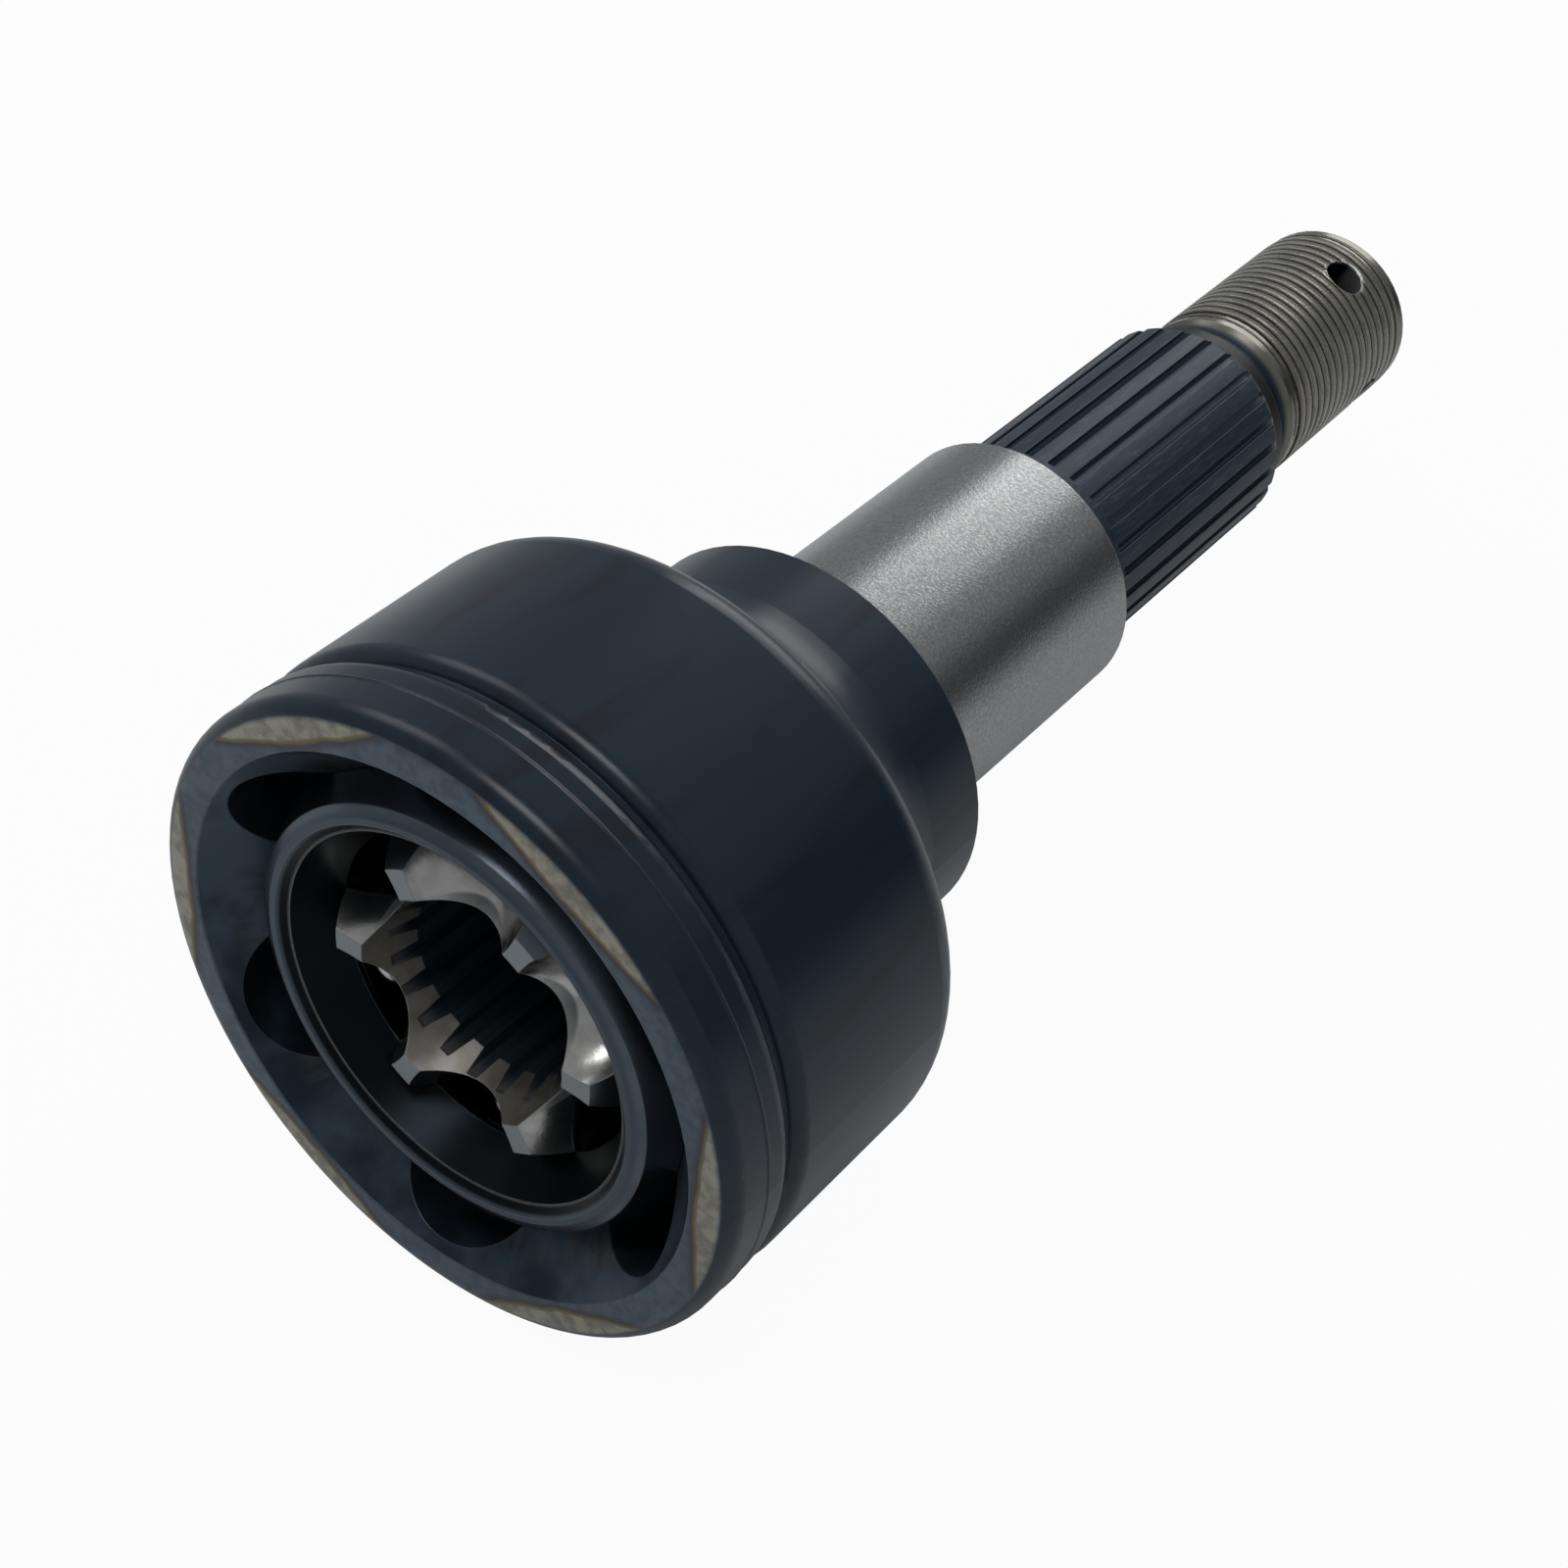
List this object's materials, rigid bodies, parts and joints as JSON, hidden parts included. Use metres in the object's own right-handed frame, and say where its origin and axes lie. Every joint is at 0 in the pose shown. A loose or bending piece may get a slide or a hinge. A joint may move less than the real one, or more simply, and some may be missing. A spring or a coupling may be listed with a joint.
{
  "type": "constant-velocity joint",
  "caption": "Outer constant-velocity joint: a bell with a splined, threaded stub shaft, and an inner race, cage and balls that let the driven shaft bend at an angle.",
  "frame": {"origin": "the point that the joint bends about, on its axis, in the middle of the inner race", "axes": "+Y along the stub shaft towards the hub nut thread, with the open mouth facing -Y; +Z through one ball track, and the joint bends about Z"},
  "size_m": [0.067, 0.1658, 0.067],
  "materials": {
    "forged_steel": "satin blue-black oxide, bright ground journal",
    "cage_steel": "dark grey hardened steel with bright edges",
    "race_steel": "ground and hardened steel",
    "ball_steel": "polished bearing steel"
  },
  "bodies": {
    "outer_race": {"outer_race": "forged_steel"},
    "cage": {"cage": "cage_steel"},
    "inner_race": {"inner_race": "race_steel"},
    "ball_1": {"ball_1": "ball_steel"},
    "ball_2": {"ball_2": "ball_steel"},
    "ball_3": {"ball_3": "ball_steel"},
    "ball_4": {"ball_4": "ball_steel"},
    "ball_5": {"ball_5": "ball_steel"},
    "ball_6": {"ball_6": "ball_steel"}
  },
  "joints": [
    {"name": "articulation", "type": "hinge", "parent": "outer_race", "child": "inner_race", "pos_m": [0, 0, 0], "axis": [0, 0, 1], "range_deg": [-42, 42]},
    {"name": "cage_steer", "type": "hinge", "parent": "outer_race", "child": "cage", "pos_m": [0, 0, 0], "axis": [0, 0, 1], "range_deg": [-21, 21]},
    {"name": "ball_1_turn", "type": "hinge", "parent": "outer_race", "child": "ball_1", "pos_m": [0, 0, 0.023], "axis": [0, 0, 1], "range_deg": [-21, 21]},
    {"name": "ball_2_track", "type": "hinge", "parent": "outer_race", "child": "ball_2", "pos_m": [0, -0.0025, 0], "axis": [-0.5, 0, 0.866], "range_deg": [-18.5, 18.5]},
    {"name": "ball_3_track", "type": "hinge", "parent": "outer_race", "child": "ball_3", "pos_m": [0, -0.0025, 0], "axis": [0.5, 0, 0.866], "range_deg": [-18.5, 18.5]},
    {"name": "ball_4_turn", "type": "hinge", "parent": "outer_race", "child": "ball_4", "pos_m": [0, 0, -0.023], "axis": [0, 0, 1], "range_deg": [-21, 21]},
    {"name": "ball_5_track", "type": "hinge", "parent": "outer_race", "child": "ball_5", "pos_m": [0, -0.0025, 0], "axis": [-0.5, 0, 0.866], "range_deg": [-18.5, 18.5]},
    {"name": "ball_6_track", "type": "hinge", "parent": "outer_race", "child": "ball_6", "pos_m": [0, -0.0025, 0], "axis": [0.5, 0, 0.866], "range_deg": [-18.5, 18.5]}
  ],
  "couplings": [
    {"joint": "cage_steer", "follows": "articulation", "ratio": 0.5},
    {"joint": "ball_1_turn", "follows": "articulation", "ratio": 0.5},
    {"joint": "ball_2_track", "follows": "articulation", "ratio": 0.438},
    {"joint": "ball_3_track", "follows": "articulation", "ratio": 0.438},
    {"joint": "ball_4_turn", "follows": "articulation", "ratio": 0.5},
    {"joint": "ball_5_track", "follows": "articulation", "ratio": 0.438},
    {"joint": "ball_6_track", "follows": "articulation", "ratio": 0.438}
  ]
}
